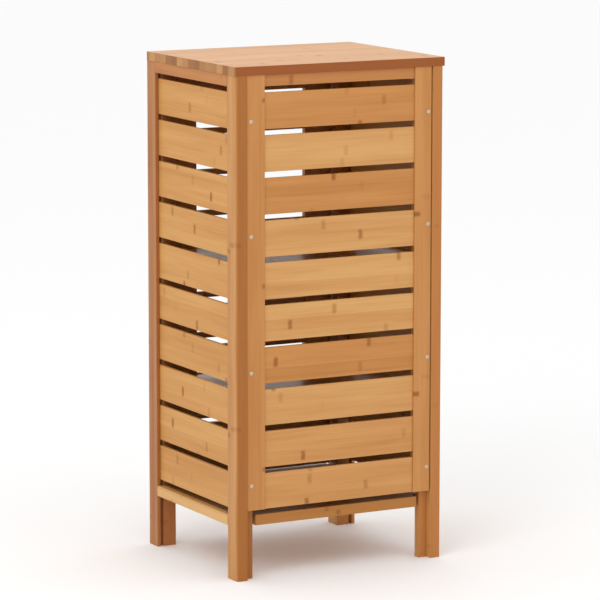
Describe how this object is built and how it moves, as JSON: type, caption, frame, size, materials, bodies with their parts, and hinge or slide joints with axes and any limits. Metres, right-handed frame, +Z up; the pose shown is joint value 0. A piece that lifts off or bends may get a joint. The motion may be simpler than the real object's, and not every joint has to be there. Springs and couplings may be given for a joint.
{
  "type": "slatted cabinet",
  "caption": "Tall free-standing slatted bamboo cabinet on short legs, with a flat top, inner shelves and a louvred hinged door.",
  "frame": {"origin": "on the floor, under the middle of the cabinet's width and of its whole depth with the knob", "axes": "+Z up; the fixed slatted panel faces -Y and the louvred door +Y; the door is hinged on the +X side"},
  "size_m": [0.4, 0.359, 0.865],
  "materials": {
    "bamboo_frame": "satin lacquer",
    "bamboo_slats": "satin lacquer",
    "bamboo_panel": "satin lacquer",
    "bamboo_boards": "satin lacquer",
    "bamboo_door": "satin lacquer",
    "hinge_steel": "satin nickel plating",
    "catch_plastic": "fine matt moulding"
  },
  "bodies": {
    "cabinet": {"leg_back_left": "bamboo_frame", "leg_back_right": "bamboo_frame", "leg_door_left": "bamboo_frame", "leg_door_right": "bamboo_frame", "side_left_top_rail": "bamboo_frame", "side_left_bottom_rail": "bamboo_frame", "side_right_top_rail": "bamboo_frame", "side_right_bottom_rail": "bamboo_frame", "side_left_slat_01": "bamboo_slats", "side_left_slat_02": "bamboo_slats", "side_left_slat_03": "bamboo_slats", "side_left_slat_04": "bamboo_slats", "side_left_slat_05": "bamboo_slats", "side_left_slat_06": "bamboo_slats", "side_left_slat_07": "bamboo_slats", "side_left_slat_08": "bamboo_slats", "side_left_slat_09": "bamboo_slats", "side_left_slat_10": "bamboo_slats", "side_right_slat_01": "bamboo_slats", "side_right_slat_02": "bamboo_slats", "side_right_slat_03": "bamboo_slats", "side_right_slat_04": "bamboo_slats", "side_right_slat_05": "bamboo_slats", "side_right_slat_06": "bamboo_slats", "side_right_slat_07": "bamboo_slats", "side_right_slat_08": "bamboo_slats", "side_right_slat_09": "bamboo_slats", "side_right_slat_10": "bamboo_slats", "back_stile_left": "bamboo_panel", "back_stile_right": "bamboo_panel", "back_top_rail": "bamboo_panel", "back_slat_01": "bamboo_panel", "back_slat_02": "bamboo_panel", "back_slat_03": "bamboo_panel", "back_slat_04": "bamboo_panel", "back_slat_05": "bamboo_panel", "back_slat_06": "bamboo_panel", "back_slat_07": "bamboo_panel", "back_slat_08": "bamboo_panel", "back_slat_09": "bamboo_panel", "back_slat_10": "bamboo_panel", "top_board": "bamboo_boards", "base_board": "bamboo_boards", "shelf_upper": "bamboo_boards", "shelf_lower": "bamboo_boards", "shelf_upper_cleat_left": "bamboo_frame", "shelf_upper_cleat_right": "bamboo_frame", "shelf_lower_cleat_left": "bamboo_frame", "shelf_lower_cleat_right": "bamboo_frame", "hinge_lower_leg_leaf": "hinge_steel", "hinge_lower_pin": "hinge_steel", "hinge_upper_leg_leaf": "hinge_steel", "hinge_upper_pin": "hinge_steel", "catch_magnet": "catch_plastic"},
    "door": {"door_panel": "bamboo_door", "door_knob": "bamboo_frame", "hinge_lower_door_leaf": "hinge_steel", "hinge_upper_door_leaf": "hinge_steel", "catch_strike": "hinge_steel"}
  },
  "joints": [
    {"name": "door_hinge", "type": "hinge", "parent": "cabinet", "child": "door", "pos_m": [0.1603, 0.1591, 0.48], "axis": [0, 0, -1], "range_deg": [0, 170]}
  ]
}
